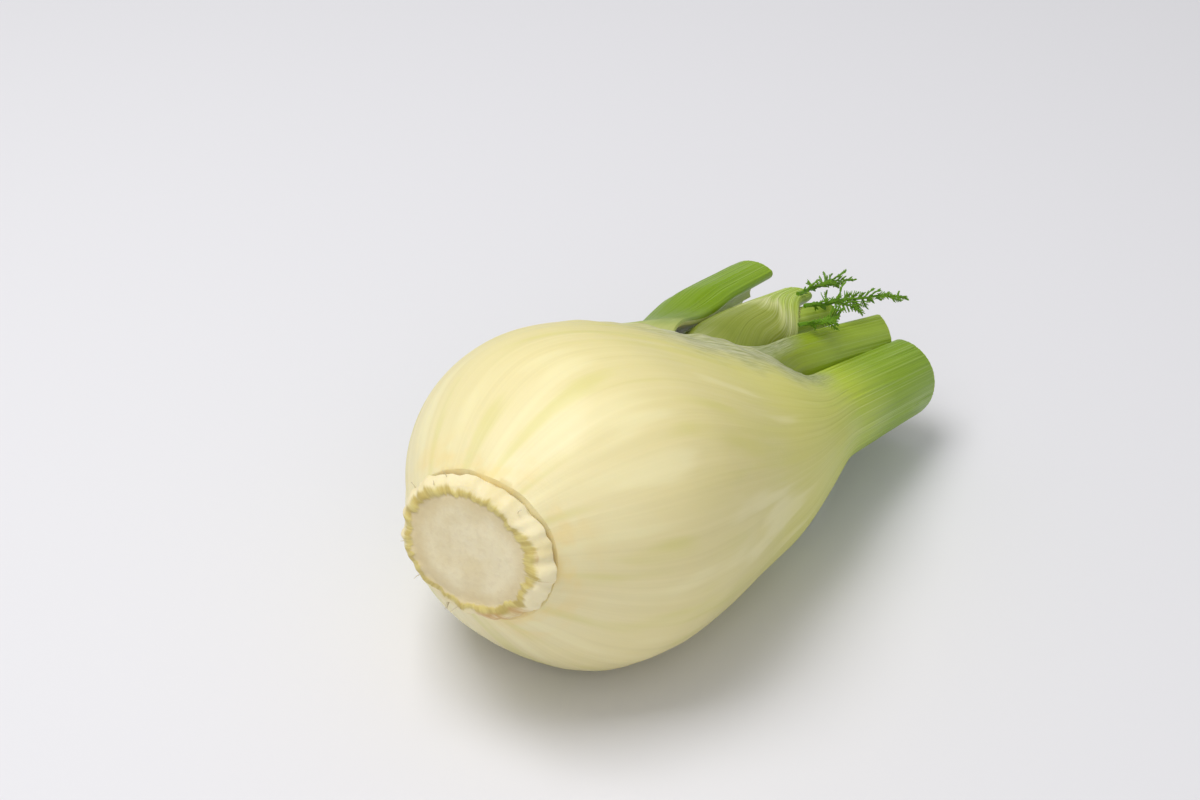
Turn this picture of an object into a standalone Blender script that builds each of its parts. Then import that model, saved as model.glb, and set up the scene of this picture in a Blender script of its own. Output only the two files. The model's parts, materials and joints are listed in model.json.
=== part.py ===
"""Fennel bulb with its stalks cut short, lying on its side.

Metres, +Z up. The bulb is drawn in its own frame, in centimetres: s runs along its axis from the
cut root face to the stalk ends, f across the fan of stalks and g through the fan. Each leaf is a
sheath wrapped round the bulb that draws together into one stalk. The sheaths lie in layers, so a
leaf's outside is the bulb's surface less the walls of the leaves around it. An empty then lays
the finished bulb down on its side.
"""

import math

import bmesh
import bpy
import numpy as np
from mathutils import Matrix, Vector

NAME = "fennel_bulb"
CM = 0.01

# How the bulb lies: its stalk end is tipped down, and its belly is a little flat where it rests.
TIP_DOWN = math.radians(14.3)
BELLY_DEPTH = 5.20     # from the cut face's centre straight down to the flat

GAP = 0.06             # clearance between neighbouring leaves
CLEAR = 0.05           # what a Boolean keeps between two leaves that press together
LOWER_LAG = 1.5        # how much later a sheath's lower margin draws in to the stalk
SQUARENESS = 2.15      # superellipse exponent of the bulb's cross-section
ACROSS = 19            # points across each face of a sheath
ALONG = 24             # stations along a sheath

# The bulb's surface: s, centre f, centre g, half width (f), half thickness (g).
BULB = [
    (0.45, 0.00, 0.00, 2.10, 1.72),
    (1.0, 0.00, 0.00, 2.66, 2.30),
    (2.0, 0.00, -0.07, 3.52, 3.22),
    (3.2, 0.00, -0.07, 4.22, 3.96),
    (4.5, 0.00, 0.00, 4.52, 4.18),
    (6.0, 0.05, 0.03, 4.48, 4.04),
    (8.0, 0.26, 0.11, 4.15, 3.64),
    (10.0, 0.62, 0.41, 3.81, 3.22),
    (12.0, 0.94, 0.84, 3.50, 2.74),
    (14.0, 0.95, 1.40, 2.95, 2.00),
]

# Each leaf's tables start with s. 'back' is the direction of its midrib, in degrees from +f
# towards +g. 'spread' is how far its two margins reach from the midrib, in degrees; 'wall' is
# its thickness at the midrib and at the margin. 'stalk' holds centre f, centre g, radius and
# midrib direction, and 'arc' how far a stalk's rounded back reaches round each way.
LEAVES = {
    "outer_leaf": {
        "colour": (0.62, 0.56, 0.30), "ends": (0.5, 17.1), "back": 8, "joins": (8.6, 12.4), "arc": 105,
        "spread": [(0.5, 172, 172), (3, 150, 152), (5, 120, 138), (7, 88, 124), (9, 62, 100),
                   (10.5, 46, 68), (12, 35, 46)],
        "wall": [(0.5, 0.28, 0.10), (1, 0.42, 0.10), (3, 0.62, 0.10), (6, 0.68, 0.10),
                 (9, 0.82, 0.12), (12, 1.00, 0.30), (17.1, 1.02, 0.34)],
        "stalk": [(8, 2.75, 0.95, 1.36, 8), (12, 2.74, 0.90, 1.28, 6), (17.1, 2.72, 0.78, 1.16, 2)],
    },
    "far_leaf": {
        "colour": (0.45, 0.50, 0.18), "ends": (0.62, 15.7), "back": 170, "joins": (8.2, 12.0), "arc": 100,
        "spread": [(0.62, 172, 172), (3, 150, 140), (5, 125, 112), (7, 100, 90), (9, 75, 68),
                   (10.5, 55, 52), (12, 40, 40)],
        "wall": [(0.62, 0.20, 0.08), (1.5, 0.38, 0.08), (3, 0.85, 0.08), (6, 1.00, 0.08),
                 (9, 1.00, 0.10), (12, 1.05, 0.30), (15.7, 1.05, 0.32)],
        "stalk": [(8, -1.3, 1.7, 1.3, 165), (12, -1.45, 2.0, 1.2, 160), (15.7, -1.6, 2.2, 1.1, 158)],
    },
    "near_leaf": {
        "colour": (0.33, 0.42, 0.10), "ends": (1.7, 16.9), "back": 12, "joins": (8.2, 12.0), "arc": 72,
        "spread": [(1.7, 160, 160), (4, 135, 130), (6, 112, 105), (8, 92, 84), (9.5, 76, 66),
                   (11, 56, 48), (12, 46, 40)],
        "wall": [(1.7, 0.26, 0.08), (3, 0.56, 0.08), (6, 0.80, 0.08), (9, 0.88, 0.10),
                 (12, 0.92, 0.28), (16.9, 0.95, 0.30)],
        "stalk": [(8, 0.95, 1.70, 1.30, 12), (12, 1.05, 1.72, 1.25, 2), (16.9, 1.28, 1.50, 1.18, -8)],
    },
    "inner_leaf": {
        "colour": (0.42, 0.46, 0.17), "ends": (2.6, 15.0), "back": 130, "joins": (7.5, 11.0), "arc": 105,
        "spread": [(2.6, 165, 165), (5, 160, 160), (8, 162, 162), (11.6, 160, 160), (12.6, 146, 146),
                   (13.6, 84, 84), (14.2, 64, 62), (15.0, 60, 60)],
        "wall": [(2.6, 0.24, 0.08), (4, 0.46, 0.10), (7, 0.62, 0.14), (10, 0.50, 0.10),
                 (12.5, 0.50, 0.12), (15.0, 0.80, 0.26)],
        "stalk": [(7.5, 0.25, 1.4, 1.3, 130), (11, 0.2, 2.1, 1.15, 130), (15.0, 0.25, 2.25, 0.98, 128)],
    },
}

# The root crown's outline, turned about the axis and then flattened: s, radius.
CROWN_FLATNESS = 0.79
CROWN_OUTLINE = [(0.00, 0.00), (0.00, 1.62), (0.00, 1.84), (0.06, 1.95), (0.20, 2.06), (0.42, 2.16),
                 (0.46, 2.08), (0.47, 1.52), (0.9, 1.52), (1.3, 1.66), (1.8, 1.66), (2.8, 1.48),
                 (3.6, 1.05), (4.05, 0.55), (4.20, 0.00)]
CROWN_SIDES = 40

# The heart leaf fills what the others leave free, then thins to a stalk that leaves the inner
# leaf's mouth. Its stalk: s, centre f, centre g, radius.
HEART_ENDS = (4.4, 15.2)
HEART_JOINS = (7.5, 12.0)
HEART_STALK = [(7.5, 0.15, 1.00, 1.00), (9.5, 0.22, 1.60, 0.80), (11.5, 0.32, 2.15, 0.58),
               (13.0, 0.50, 2.55, 0.44), (15.2, 1.02, 2.66, 0.33)]
HEART_SIDES = 24
HEART_STATIONS = 20

# Young fronds: each rib is a run of (s, f, g) points, and leaflets leave it in pairs.
FRONDS = {
    "frond_long": [(13.7, 0.95, 3.16), (14.8, 1.35, 3.18), (16.0, 1.75, 3.18), (17.6, 2.15, 3.05)],
    "frond_short": [(13.9, 0.62, 3.42), (14.7, 0.66, 3.48), (15.7, 0.72, 3.42), (16.9, 0.80, 3.20)],
    "frond_low": [(12.7, 1.46, 3.02), (13.1, 1.66, 3.04), (13.7, 1.80, 3.06), (14.4, 1.78, 3.10)],
}
FROND_RIB = 0.06       # half thickness of a frond at its base
LEAFLET_REACH = 0.36   # how far its leaflets stand out
LEAFLETS = 8           # pairs of leaflets along a frond


def curve(table, s):
    """Read a smooth curve through a table's rows at s; returns its other columns."""
    rows = np.array(table, float)
    at, values = rows[:, 0], rows[:, 1:]
    slopes = np.gradient(values, at, axis=0)
    i = int(np.clip(np.searchsorted(at, s) - 1, 0, len(at) - 2))
    step = at[i + 1] - at[i]
    q = float(np.clip((s - at[i]) / step, 0.0, 1.0))
    start = (2 * q**3 - 3 * q**2 + 1) * values[i] + (q**3 - 2 * q**2 + q) * step * slopes[i]
    end = (3 * q**2 - 2 * q**3) * values[i + 1] + (q**3 - q**2) * step * slopes[i + 1]
    return start + end


def ease(a, b, x):
    """0 before a, 1 after b, smooth between."""
    q = np.clip((x - a) / (b - a), 0.0, 1.0)
    return q * q * (3 - 2 * q)


def polar(centre, radius, angle):
    """Points (f, g) at a radius and angle about a centre."""
    return np.stack([centre[0] + radius * np.cos(angle), centre[1] + radius * np.sin(angle)], -1)


def bulb_radius(s, angle):
    """Distance from the bulb's centre line to its surface in a direction, flat at the belly."""
    _, centre_g, half_width, half_thickness = curve(BULB, s)
    across = np.abs(np.cos(angle)) / half_width
    through = np.abs(np.sin(angle)) / half_thickness
    radius = (across**SQUARENESS + through**SQUARENESS) ** (-1 / SQUARENESS)
    flat = (s * math.sin(TIP_DOWN) - BELLY_DEPTH) / math.cos(TIP_DOWN)
    downward = np.minimum(np.sin(angle), -1e-6)
    return np.minimum(radius, (flat - centre_g) / downward)


def wall(leaf, s, v):
    """Thickness of a leaf at places v across it: 0 at the midrib, -1 and 1 at the margins."""
    middle, margin = curve(leaf["wall"], s)
    return margin + (middle - margin) * (1 - np.abs(np.clip(v, -1, 1)) ** 1.8)


def layers_outside(name, s, angle):
    """Thickness of all the leaves that wrap round this one, in each direction."""
    total = np.zeros_like(angle)
    for other, leaf in LEAVES.items():
        if other == name:
            break
        if s < leaf["ends"][0]:
            continue
        upper, lower = curve(leaf["spread"], s)
        turn = (np.degrees(angle) - leaf["back"] + 180) % 360 - 180
        total += wall(leaf, s, np.where(turn > 0, turn / upper, turn / lower)) + GAP
    return total


def sheath_ring(name, s):
    """The closed outline (f, g) of a leaf at s: along its outside, then back along its inside."""
    leaf = LEAVES[name]
    v = np.linspace(-1, 1, ACROSS)
    v = 0.6 * v + 0.4 * np.sin(v * math.pi / 2)
    thickness = wall(leaf, s, v)
    upper, lower = curve(leaf["spread"], s)
    angle = np.radians(leaf["back"] + np.where(v > 0, v * upper, v * lower))
    centre = curve(BULB, s)[:2]
    outside = bulb_radius(s, angle) - layers_outside(name, s, angle)
    f, g, radius, back = curve(leaf["stalk"], s)
    arc = min(upper, 165) if name == "inner_leaf" else leaf["arc"]
    stalk_angle = np.radians(back + v * arc)
    into_stalk = ease(*leaf["joins"], s - LOWER_LAG * np.clip(-v, 0, 1))[:, None]
    outer = polar(centre, outside, angle) * (1 - into_stalk)
    outer += polar((f, g), radius, stalk_angle) * into_stalk
    inner = polar(centre, outside - thickness, angle) * (1 - into_stalk)
    inner += polar((f, g), radius - thickness, stalk_angle) * into_stalk
    return np.concatenate([outer, inner[::-1]])


def bulb_point(s, f, g):
    """A point of the bulb's frame, in metres: s along x, f along -y, g along z."""
    return Vector((s, -f, g)) * CM


def loft(rings):
    """A closed body through equal rings of (s, f, g) points, capped at both ends."""
    bm = bmesh.new()
    rows = [[bm.verts.new(bulb_point(*p)) for p in ring] for ring in rings]
    count = len(rows[0])
    for low, high in zip(rows, rows[1:]):
        for i in range(count):
            j = (i + 1) % count
            bm.faces.new((low[i], low[j], high[j], high[i]))
    for row in (rows[0], rows[-1]):
        for i in range(count // 2 - 1):
            bm.faces.new((row[i], row[i + 1], row[count - 2 - i], row[count - 1 - i]))
    bmesh.ops.recalc_face_normals(bm, faces=bm.faces)
    return bm


def material(name, colour, roughness):
    """A Principled material with the part's own colour."""
    made = bpy.data.materials.new(name)
    made.use_nodes = True
    shader = made.node_tree.nodes["Principled BSDF"]
    shader.inputs["Base Color"].default_value = (*colour, 1.0)
    shader.inputs["Roughness"].default_value = roughness
    shader.inputs["Metallic"].default_value = 0.0
    return made


def add_object(name, mesh, collection, colour, roughness=0.45):
    """Put a mesh in the scene as one named piece of the bulb."""
    piece = bpy.data.objects.new(name, mesh)
    piece.data.materials.append(material(name, colour, roughness))
    collection.objects.link(piece)
    return piece


def mesh_of(bm, name):
    """Turn a bmesh into a mesh and free it."""
    mesh = bpy.data.meshes.new(name)
    bm.to_mesh(mesh)
    bm.free()
    return mesh


def leaf_stations(name):
    """Where the rings of a leaf stand, from its base to its cut end."""
    first, last = LEAVES[name]["ends"]
    return np.linspace(first, last, ALONG)


def sheath_mesh(name):
    """One leaf: a sheath that is open down its front and becomes a stalk."""
    rings = [[(s, *p) for p in sheath_ring(name, s)] for s in leaf_stations(name)]
    return mesh_of(loft(rings), name)


def heart_ring(s):
    """The heart leaf's outline at s: the space inside every sheath, drawn in to its stalk."""
    angle = np.linspace(0, 2 * math.pi, HEART_SIDES, endpoint=False)
    room = bulb_radius(s, angle) - layers_outside("heart_leaf", s, angle)
    room = (np.roll(room, 1) + room + np.roll(room, -1)) / 3 * ease(HEART_ENDS[0] - 1.5, HEART_ENDS[0] + 1, s)
    f, g, radius = curve(HEART_STALK, s)
    into_stalk = ease(*HEART_JOINS, s)
    body = polar(curve(BULB, s)[:2], room, angle)
    return body * (1 - into_stalk) + polar((f, g), radius, angle) * into_stalk


def heart_mesh():
    """The young leaf inside all the others, rolled into one solid stem."""
    stations = np.linspace(*HEART_ENDS, HEART_STATIONS)
    return mesh_of(loft([[(s, *p) for p in heart_ring(s)] for s in stations]), "heart_leaf")


def crown_object(collection):
    """The trimmed root: a cut face, a rim, and the short stem that the leaves grow from."""
    mesh = bpy.data.meshes.new("root_crown")
    points = [bulb_point(s, 0, r) for s, r in CROWN_OUTLINE]
    mesh.from_pydata(points, [(i, i + 1) for i in range(len(points) - 1)], [])
    crown = add_object("root_crown", mesh, collection, (0.72, 0.62, 0.40), 0.6)
    turn = crown.modifiers.new("turned", "SCREW")
    turn.axis = "X"
    turn.steps = turn.render_steps = CROWN_SIDES
    turn.use_merge_vertices = True
    turn.merge_threshold = 0.0001
    turn.use_normal_calculate = True
    crown.scale = (1.0, 1.0, CROWN_FLATNESS)
    return crown


def frond_mesh(name, route):
    """A young feathery frond: a thin blade along its rib, toothed where the leaflets stand."""
    knots = [(k, *point) for k, point in enumerate(route)]
    count = 2 * LEAFLETS
    places = [curve(knots, t) for t in np.linspace(0, len(route) - 1, count + 1)]
    rings = []
    for i, place in enumerate(places):
        ahead = places[min(i + 1, count)] - places[max(i - 1, 0)]
        ahead /= np.linalg.norm(ahead)
        aside = np.cross(ahead, (0, 0, 1))
        aside /= np.linalg.norm(aside)
        over = np.cross(aside, ahead)
        taper = 1 - 0.7 * i / count
        reach = (LEAFLET_REACH if i % 2 else FROND_RIB) * taper
        sweep = ahead * (reach - FROND_RIB * taper)
        thick = over * FROND_RIB * taper
        rings.append([place + sweep + aside * reach, place + thick, place + sweep - aside * reach, place - thick])
    return mesh_of(loft(rings), name)


def grown_copy(piece, cutters):
    """A slightly larger copy of a piece, which only cuts."""
    cutter = bpy.data.objects.new(piece.name + "_cutter", piece.data.copy())
    cutters.objects.link(cutter)
    grow = cutter.modifiers.new("clearance", "DISPLACE")
    grow.strength = CLEAR * CM
    grow.mid_level = 0.0
    cutter.hide_render = True
    cutter.display_type = "WIRE"
    return cutter


def keep_clear(piece, cutter):
    """Cut a piece back where a neighbour presses into it."""
    cut = piece.modifiers.new("clear_of_" + cutter.name, "BOOLEAN")
    cut.operation = "DIFFERENCE"
    cut.solver = "EXACT"
    cut.object = cutter


def lay_down(pieces):
    """Tip the bulb onto its side, with its lowest point on z = 0 and its box centred on x, y."""
    rest = bpy.data.objects.new("laid_down", None)
    bpy.context.scene.collection.objects.link(rest)
    turn = Matrix.Rotation(TIP_DOWN, 4, "Y")
    points = []
    for piece in pieces:
        evaluated = piece.evaluated_get(bpy.context.evaluated_depsgraph_get())
        points += [turn @ (piece.matrix_basis @ v.co) for v in evaluated.data.vertices]
    low = Vector(min(p[k] for p in points) for k in range(3))
    high = Vector(max(p[k] for p in points) for k in range(3))
    shift = Vector((-(low.x + high.x) / 2, -(low.y + high.y) / 2, -low.z))
    rest.matrix_world = Matrix.Translation(shift) @ turn
    return rest


def main():
    for old in list(bpy.data.objects):
        bpy.data.objects.remove(old)
    bulb = bpy.data.collections.new(NAME)
    cutters = bpy.data.collections.new("cutters")
    bpy.context.scene.collection.children.link(bulb)
    bpy.context.scene.collection.children.link(cutters)

    crown = crown_object(bulb)
    leaves = [add_object(name, sheath_mesh(name), bulb, leaf["colour"]) for name, leaf in LEAVES.items()]
    heart = add_object("heart_leaf", heart_mesh(), bulb, (0.40, 0.50, 0.12))
    fronds = [add_object(name, frond_mesh(name, route), bulb, (0.14, 0.26, 0.05))
              for name, route in FRONDS.items()]

    grown = [grown_copy(leaf, cutters) for leaf in leaves]
    for i, leaf in enumerate([*leaves, heart]):
        for cutter in grown[:i]:
            keep_clear(leaf, cutter)
    bpy.context.view_layer.update()

    pieces = [crown, *leaves, heart, *fronds]
    rest = lay_down(pieces)
    for piece in [*pieces, *grown]:
        piece.parent = rest


main()
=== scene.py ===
# %% [markdown]
# # A fennel bulb, modelled from its leaves
# A fennel bulb is a set of swollen leaf bases packed round a short stem. Each leaf starts as a
# sheath that wraps the bulb, then draws together into one grooved stalk. This lesson builds the
# root, five leaves and three feathery fronds, and gives each its own skin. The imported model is
# the frame: it says where everything lies, and each piece made here stands for one of its nodes.

# %% Load the frame
import json
import math

import bmesh
import bpy
import numpy as np
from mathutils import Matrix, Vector

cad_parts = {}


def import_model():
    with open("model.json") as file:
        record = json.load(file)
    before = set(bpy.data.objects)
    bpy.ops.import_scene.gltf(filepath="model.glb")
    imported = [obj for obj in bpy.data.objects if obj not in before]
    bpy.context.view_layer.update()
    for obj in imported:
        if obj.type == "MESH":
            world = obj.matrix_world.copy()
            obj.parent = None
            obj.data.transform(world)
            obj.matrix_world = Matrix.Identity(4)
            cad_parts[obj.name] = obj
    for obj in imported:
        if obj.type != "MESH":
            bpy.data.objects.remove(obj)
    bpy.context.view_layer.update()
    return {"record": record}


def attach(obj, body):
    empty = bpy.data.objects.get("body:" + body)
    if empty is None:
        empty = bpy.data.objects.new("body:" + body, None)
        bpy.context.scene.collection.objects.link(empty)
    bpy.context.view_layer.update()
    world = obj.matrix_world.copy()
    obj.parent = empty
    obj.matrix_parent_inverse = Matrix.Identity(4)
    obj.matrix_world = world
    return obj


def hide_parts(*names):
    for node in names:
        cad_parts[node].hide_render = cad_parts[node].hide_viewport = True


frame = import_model()

# %% [markdown]
# ## The bulb's own directions
# The bulb lies tipped on its belly, so nothing on it lines up with the world's axes. It is far
# easier to draw in its own frame: s runs along its axis from the cut root, f across the fan of
# stalks, and g through the fan. The cut root face gives that frame, because it is a flat face
# with a known centre and direction. Lengths there are in centimetres.

# %% The bulb's frame
CM = 0.01
root_cut = next(mount for mount in frame["record"]["mounts"] if mount["name"] == "root_cut")
ROOT = np.array(root_cut["pos_m"])
ALONG = -np.array(root_cut["axis"]) / np.linalg.norm(root_cut["axis"])
FAN = np.array((0.0, -1.0, 0.0))
THROUGH = np.cross(FAN, ALONG)
TIP_DOWN = math.asin(-ALONG[2])
BELLY_DEPTH = ROOT[2] / CM      # the bulb lies on z = 0, straight below the cut face


def world(points):
    """Points (s, f, g) of the bulb's frame, in centimetres, as world positions in metres."""
    s, f, g = np.moveaxis(np.asarray(points, float) * CM, -1, 0)
    return ROOT + s[..., None] * ALONG + f[..., None] * FAN + g[..., None] * THROUGH


print(f"The stalk end is tipped {math.degrees(TIP_DOWN):.1f} degrees down")

# %% [markdown]
# ## Reading a shape from a few stations
# Nobody measures a vegetable at a hundred places. A handful of stations, with a smooth curve
# through them, gives a form that swells and narrows the way a grown thing does. These few
# functions read such a table, and the table BULB is the whole outside of the bulb.

# %% Smooth curves through stations
BULB = [  # s, centre f, centre g, half width across the fan, half thickness through it
    (0.45, 0.00, 0.00, 2.10, 1.72),
    (1.0, 0.00, 0.00, 2.66, 2.30),
    (2.0, 0.00, -0.07, 3.52, 3.22),
    (3.2, 0.00, -0.07, 4.22, 3.96),
    (4.5, 0.00, 0.00, 4.52, 4.18),
    (6.0, 0.05, 0.03, 4.48, 4.04),
    (8.0, 0.26, 0.11, 4.15, 3.64),
    (10.0, 0.62, 0.41, 3.81, 3.22),
    (12.0, 0.94, 0.84, 3.50, 2.74),
    (14.0, 0.95, 1.40, 2.95, 2.00),
]
SQUARENESS = 2.15


def curve(table, s):
    """Read a smooth curve through a table's rows at s; returns its other columns."""
    rows = np.array(table, float)
    at, values = rows[:, 0], rows[:, 1:]
    slopes = np.gradient(values, at, axis=0)
    i = int(np.clip(np.searchsorted(at, s) - 1, 0, len(at) - 2))
    step = at[i + 1] - at[i]
    q = float(np.clip((s - at[i]) / step, 0.0, 1.0))
    start = (2 * q**3 - 3 * q**2 + 1) * values[i] + (q**3 - 2 * q**2 + q) * step * slopes[i]
    end = (3 * q**2 - 2 * q**3) * values[i + 1] + (q**3 - q**2) * step * slopes[i + 1]
    return start + end


def ease(a, b, x):
    """0 before a, 1 after b, smooth between."""
    q = np.clip((x - a) / (b - a), 0.0, 1.0)
    return q * q * (3 - 2 * q)


def polar(centre, radius, angle):
    """Points (f, g) at a radius and angle about a centre."""
    return np.stack([centre[0] + radius * np.cos(angle), centre[1] + radius * np.sin(angle)], -1)


def uneven(s, angle):
    """The slow unevenness of a grown surface, about 0, from a few crossed waves."""
    return (np.sin(2 * angle + 0.5 * s + 0.6) + np.sin(3 * angle - 0.7 * s + 2.1)
            + 0.6 * np.sin(5 * angle + 0.9 * s)) / 3


def bulb_radius(s, angle):
    """Distance from the bulb's centre line to its surface in a direction, flat at the belly."""
    _, centre_g, half_width, half_thickness = curve(BULB, s)
    across = np.abs(np.cos(angle)) / half_width
    through = np.abs(np.sin(angle)) / half_thickness
    radius = (across**SQUARENESS + through**SQUARENESS) ** (-1 / SQUARENESS)
    radius = radius + 0.025 * uneven(s, angle) * ease(1.0, 3.0, s)
    flat = (s * math.sin(TIP_DOWN) - BELLY_DEPTH) / math.cos(TIP_DOWN)
    downward = np.minimum(np.sin(angle), -1e-6)
    return np.minimum(radius, (flat - centre_g) / downward)


print("The bulb is", 2 * max(row[3] for row in BULB), "cm across at its widest")

# %% [markdown]
# ## The leaves as tables
# Every leaf follows one rule, so its shape is a few tables and not a sculpted mesh: how far its
# two margins reach round the bulb, how thick its wall is, and where its stalk goes. The leaves
# lie in layers. A leaf's outside is the bulb's surface less the walls of the leaves around it,
# which packs them the way they grow.

# %% The leaves' tables
GAP = 0.06             # clearance between neighbouring leaves
LOWER_LAG = 1.5        # how much later a sheath's lower margin draws in to the stalk
LEAVES = {
    "outer_leaf": {
        "ends": (0.5, 17.1), "back": 8, "joins": (8.6, 12.4), "arc": 105,
        "spread": [(0.5, 172, 172), (3, 150, 152), (5, 120, 138), (7, 88, 124), (9, 62, 100),
                   (10.5, 46, 68), (12, 35, 46)],
        "wall": [(0.5, 0.28, 0.10), (1, 0.42, 0.10), (3, 0.62, 0.10), (6, 0.68, 0.10),
                 (9, 0.82, 0.12), (12, 1.00, 0.30), (17.1, 1.02, 0.34)],
        "stalk": [(8, 2.75, 0.95, 1.36, 8), (12, 2.74, 0.90, 1.28, 6), (17.1, 2.72, 0.78, 1.16, 2)],
    },
    "far_leaf": {
        "ends": (0.62, 15.7), "back": 170, "joins": (8.2, 12.0), "arc": 100,
        "spread": [(0.62, 172, 172), (3, 150, 140), (5, 125, 112), (7, 100, 90), (9, 75, 68),
                   (10.5, 55, 52), (12, 40, 40)],
        "wall": [(0.62, 0.20, 0.08), (1.5, 0.38, 0.08), (3, 0.85, 0.08), (6, 1.00, 0.08),
                 (9, 1.00, 0.10), (12, 1.05, 0.30), (15.7, 1.05, 0.32)],
        "stalk": [(8, -1.3, 1.7, 1.3, 165), (12, -1.45, 2.0, 1.2, 160), (15.7, -1.6, 2.2, 1.1, 158)],
    },
    "near_leaf": {
        "ends": (1.7, 16.9), "back": 12, "joins": (8.2, 12.0), "arc": 72,
        "spread": [(1.7, 160, 160), (4, 135, 130), (6, 112, 105), (8, 92, 84), (9.5, 76, 66),
                   (11, 56, 48), (12, 46, 40)],
        "wall": [(1.7, 0.26, 0.08), (3, 0.56, 0.08), (6, 0.80, 0.08), (9, 0.88, 0.10),
                 (12, 0.92, 0.28), (16.9, 0.95, 0.30)],
        "stalk": [(8, 0.95, 1.70, 1.30, 12), (12, 1.05, 1.72, 1.25, 2), (16.9, 1.28, 1.50, 1.18, -8)],
    },
    "inner_leaf": {
        "ends": (2.6, 15.0), "back": 130, "joins": (7.5, 11.0), "arc": 165,
        "spread": [(2.6, 165, 165), (5, 160, 160), (8, 162, 162), (11.6, 160, 160), (12.6, 146, 146),
                   (13.6, 84, 84), (14.2, 64, 62), (15.0, 60, 60)],
        "wall": [(2.6, 0.24, 0.08), (4, 0.46, 0.10), (7, 0.62, 0.14), (10, 0.50, 0.10),
                 (12.5, 0.50, 0.12), (15.0, 0.80, 0.26)],
        "stalk": [(7.5, 0.25, 1.4, 1.3, 130), (11, 0.2, 2.1, 1.15, 130), (15.0, 0.25, 2.25, 0.98, 128)],
    },
}


def wall(leaf, s, v):
    """Thickness of a leaf at places v across it: 0 at the midrib, -1 and 1 at the margins."""
    middle, margin = curve(leaf["wall"], s)
    return margin + (middle - margin) * (1 - np.abs(np.clip(v, -1, 1)) ** 1.8)


def layers_outside(name, s, angle):
    """Thickness of all the leaves that wrap round this one, in each direction."""
    total = np.zeros_like(angle)
    for other, leaf in LEAVES.items():
        if other == name:
            break
        if s < leaf["ends"][0]:
            continue
        upper, lower = curve(leaf["spread"], s)
        turn = (np.degrees(angle) - leaf["back"] + 180) % 360 - 180
        total += wall(leaf, s, np.where(turn > 0, turn / upper, turn / lower)) + GAP
    return total


print("Sheaths:", ", ".join(LEAVES))

# %% [markdown]
# ## One cross-section of a leaf
# At each station the leaf is a crescent: its back follows the bulb, its inside lies a wall's
# thickness further in, and both meet in a rounded margin. Higher up, the same crescent slides
# over to the stalk's own circle. Real margins are thin skins that pucker, so a small ripple
# grows towards the edge of the outer leaf.

# %% A leaf's cross-section
def puckered(name, s, v):
    """How far the thin upper margin of a sheath ripples in and out, in centimetres."""
    if name not in ("outer_leaf", "near_leaf"):
        return 0.0 * v
    edge = ease(0.80, 1.0, v) * ease(5.0, 7.0, s) * (1 - ease(10.8, 12.4, s))
    return 0.035 * edge * (np.sin(5.2 * s + 9 * v) + 0.6 * np.sin(11.7 * s + 1.3))


def sheath_section(name, s, v):
    """Outside and inside points (f, g) of a leaf at s, at places v across it."""
    leaf = LEAVES[name]
    upper, lower = curve(leaf["spread"], s)
    angle = np.radians(leaf["back"] + np.where(v > 0, v * upper, v * lower))
    f, g, radius, back = curve(leaf["stalk"], s)
    arc = min(upper, leaf["arc"]) if name == "inner_leaf" else leaf["arc"]
    stalk_angle = np.radians(back + v * arc)
    into_stalk = ease(*leaf["joins"], s - LOWER_LAG * np.clip(-v, 0, 1))[:, None]

    thickness = wall(leaf, s, v)
    margin = curve(leaf["wall"], s)[1]
    reach = math.radians(0.5 * (upper + lower)) * curve(BULB, s)[2] * (1 - into_stalk[0, 0])
    reach += math.radians(arc) * radius * into_stalk[0, 0]
    rounding = 1 - np.sqrt(1 - np.clip(1 - (1 - np.abs(v)) * reach / (margin / 2), 0, 1) ** 2)
    tuck = margin / 2 * rounding

    centre = curve(BULB, s)[:2]
    outside = bulb_radius(s, angle) - layers_outside(name, s, angle) + puckered(name, s, v) - tuck
    inside = outside - (thickness - 2 * tuck)
    outer = polar(centre, outside, angle) * (1 - into_stalk)
    outer += polar((f, g), radius - tuck, stalk_angle) * into_stalk
    inner = polar(centre, inside, angle) * (1 - into_stalk)
    inner += polar((f, g), radius - thickness + tuck, stalk_angle) * into_stalk
    return outer, inner


sample = sheath_section("outer_leaf", 6.0, np.linspace(-1, 1, 9))[0]
print("The outer leaf's back at s = 6 reaches f =", round(float(sample[:, 0].max()), 2), "cm")

# %% [markdown]
# ## Skinning the cross-sections
# The sections are joined into one closed skin. The stalk's cut end gets rows of its own, so that
# it can dip a little where the soft pith has shrunk. Each point remembers where it is on the
# leaf, along and across, and each face remembers whether it is outside, inside or cut. The
# materials and the ribs read those later, so no unwrapping is needed. The start of a sheath is
# cut by a small wave, because a leaf base never ends in a straight line.

# %% Helpers for a mesh
def remember(mesh, domain, **values):
    """Store float values on a mesh's points or faces, by name."""
    for label, value in values.items():
        data = mesh.attributes.new(label, "FLOAT", domain).data
        data.foreach_set("value", np.array(value, np.float32))


def ring_faces(rings, sides):
    """The faces between closed rings of points that follow one another."""
    return [(j * sides + i, j * sides + (i + 1) % sides, (j + 1) * sides + (i + 1) % sides,
             (j + 1) * sides + i) for j in range(rings - 1) for i in range(sides)]


def distance_to_outline(points, outline):
    """Distance of each point (f, g) from a closed outline."""
    start, end = outline, np.roll(outline, -1, 0)
    edge = end - start
    part = ((points[:, None] - start) * edge).sum(-1) / np.maximum((edge * edge).sum(-1), 1e-12)
    near = start + np.clip(part, 0, 1)[..., None] * edge
    return np.linalg.norm(points[:, None] - near, axis=-1).min(1)


print("Two rings of 12 points are joined by", len(ring_faces(2, 12)), "faces")

# %% Join sections into a leaf
CUT_ROWS = 10          # rows of faces across a stalk's cut end
CUT_DIP = 0.10         # how far the pith has sunk, in centimetres
OUTSIDE, INSIDE, CUT = 0, 1, 2


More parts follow.
